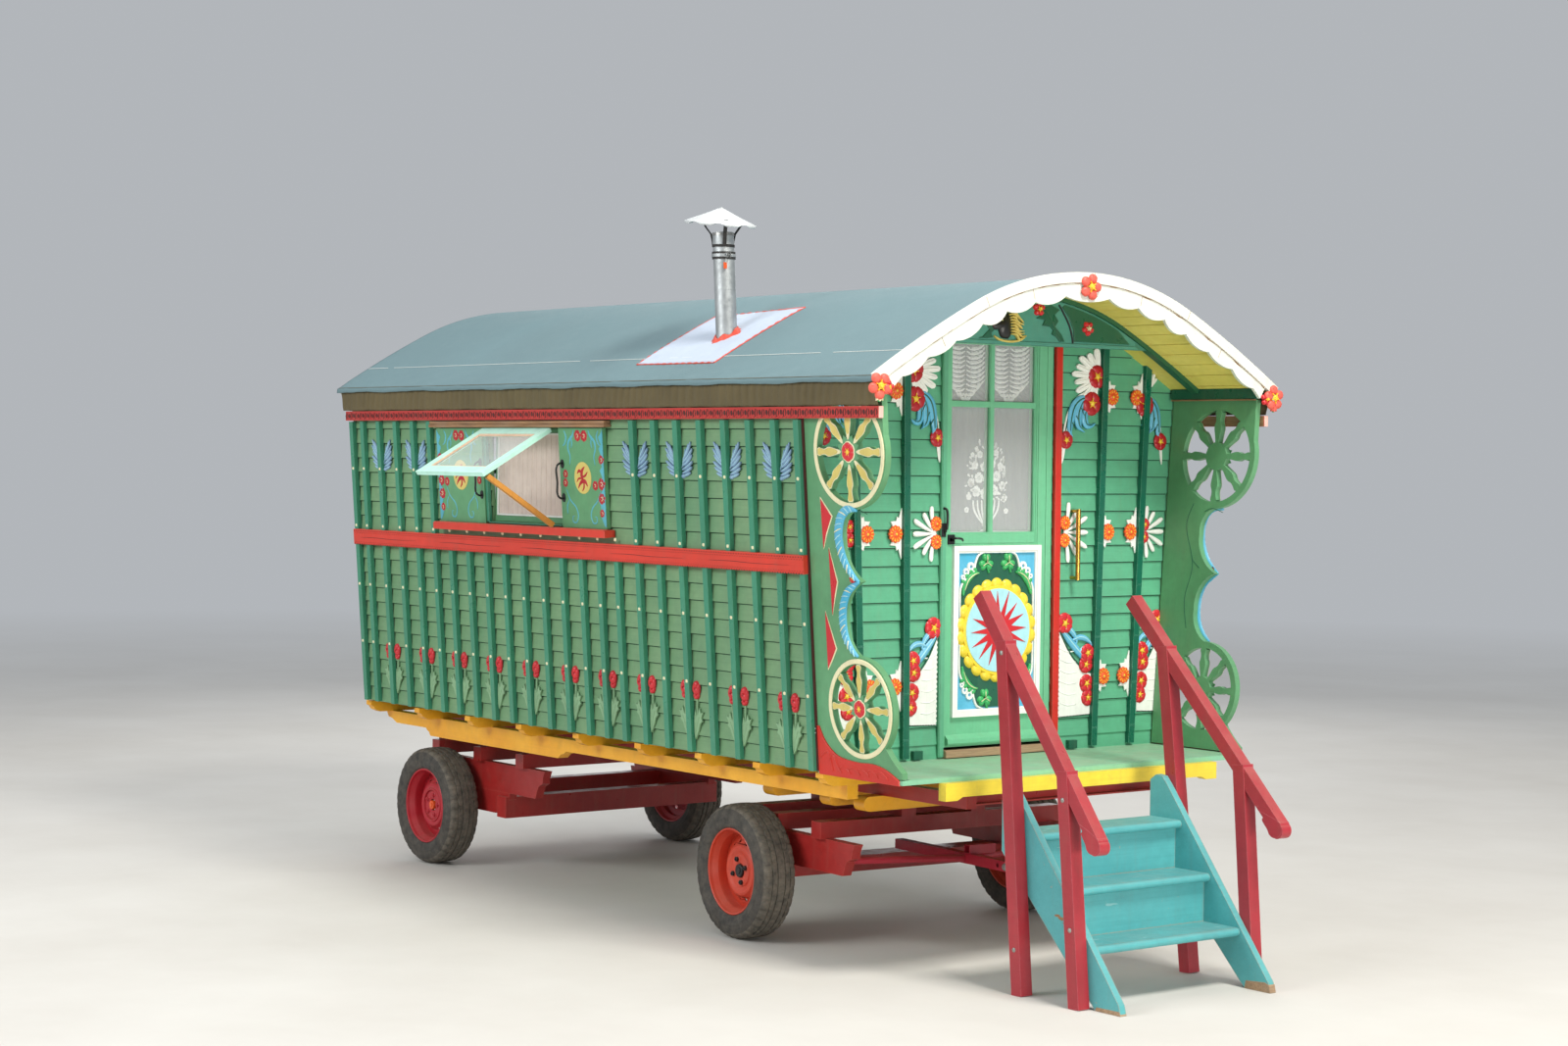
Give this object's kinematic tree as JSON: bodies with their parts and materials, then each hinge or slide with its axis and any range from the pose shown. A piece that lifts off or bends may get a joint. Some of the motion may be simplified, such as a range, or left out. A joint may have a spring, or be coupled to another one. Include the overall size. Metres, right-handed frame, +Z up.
{
  "type": "vardo wagon",
  "caption": "Bow-topped living wagon with ribbed sides, carved porch, glazed door, propped side windows, stove chimney, steering bogie and wooden steps.",
  "frame": {"origin": "on the ground, at the middle of the whole footprint, with the steps and the open window sashes", "axes": "+X towards the door, porch and drawbar end, +Y to the wagon's left, +Z up"},
  "size_m": [5.608, 3.0882, 3.3822],
  "materials": {
    "black_iron": "black",
    "brass": "worn",
    "brown_cloth": "cotton cloth",
    "canvas": "waxed canvas",
    "dark_green": "gloss painted timber",
    "galvanised": "weathered zinc",
    "glass": "clear",
    "green": "painted boards",
    "ivory": "painted timber",
    "lace": "lace",
    "raspberry": "worn painted timber",
    "raw_wood": "bare timber",
    "red": "gloss painted timber",
    "red_steel": "painted steel",
    "rim_red": "painted steel",
    "turquoise": "worn painted timber",
    "tyre": "worn rubber",
    "yellow": "gloss painted timber"
  },
  "bodies": {
    "wagon": {"belt_rails": "red", "canvas_skirts": "brown_cloth", "chassis_rails": "red", "chimney_cap": "galvanised", "chimney_flashing": "ivory", "chimney_pipe": "galvanised", "crown_boards": "red", "door_frame": "red", "end_ribs": "dark_green", "floor_boards": "green", "floor_joists": "yellow", "floor_sills": "yellow", "front_bolsters": "yellow", "front_wall": "green", "grab_rail": "brass", "handrail_posts": "raspberry", "handrails": "raspberry", "inner_shutters": "ivory", "porch_bracket_left": "green", "porch_bracket_right": "green", "porch_footboard": "yellow", "rear_axle": "red", "rear_frame": "red", "rear_wall": "green", "roof_boards": "ivory", "roof_bows": "dark_green", "roof_canvas": "canvas", "roof_fascias": "ivory", "sash_props": "raw_wood", "side_ribs_left": "dark_green", "side_ribs_right": "dark_green", "side_wall_left": "green", "side_wall_right": "green", "sliding_shutters": "green", "step_stringers": "turquoise", "step_treads": "turquoise", "turntable_top_plate": "red_steel", "tympanum": "green", "window_glass": "glass", "window_sashes": "green", "window_trims": "red"},
    "wheel_rear_right": {"tyre_rear_right": "tyre", "rim_rear_right": "rim_red"},
    "wheel_rear_left": {"tyre_rear_left": "tyre", "rim_rear_left": "rim_red"},
    "wheel_front_right": {"tyre_front_right": "tyre", "rim_front_right": "rim_red"},
    "wheel_front_left": {"tyre_front_left": "tyre", "rim_front_left": "rim_red"},
    "bogie": {"turntable_plate": "red_steel", "bogie_frame": "red", "bogie_boards": "red", "front_axle": "red", "drawbar": "red_steel", "drawbar_braces": "red_steel"},
    "door": {"door_leaf": "green", "door_glass": "glass", "door_curtains": "lace", "door_panel": "ivory", "door_fittings": "black_iron"}
  },
  "joints": [
    {"name": "wheel_rear_right_spin", "type": "hinge", "parent": "wagon", "child": "wheel_rear_right", "pos_m": [-2.341, -0.808, 0.312], "axis": [0, 1, 0], "continuous": true},
    {"name": "wheel_rear_left_spin", "type": "hinge", "parent": "wagon", "child": "wheel_rear_left", "pos_m": [-2.341, 0.808, 0.312], "axis": [0, 1, 0], "continuous": true},
    {"name": "wheel_front_right_spin", "type": "hinge", "parent": "bogie", "child": "wheel_front_right", "pos_m": [0.48164, -0.80603, 0.312], "axis": [0.0698, 0.9976, 0], "continuous": true},
    {"name": "wheel_front_left_spin", "type": "hinge", "parent": "bogie", "child": "wheel_front_left", "pos_m": [0.59436, 0.80603, 0.312], "axis": [0.0698, 0.9976, 0], "continuous": true},
    {"name": "turntable_steer", "type": "hinge", "parent": "wagon", "child": "bogie", "pos_m": [0.538, 0, 0.65], "axis": [0, 0, 1], "range_deg": [-41, 49]},
    {"name": "door_swing", "type": "hinge", "parent": "wagon", "child": "door", "pos_m": [1.25, 0.334, 1.6], "axis": [0, 0, -1], "range_deg": [0, 95]}
  ]
}
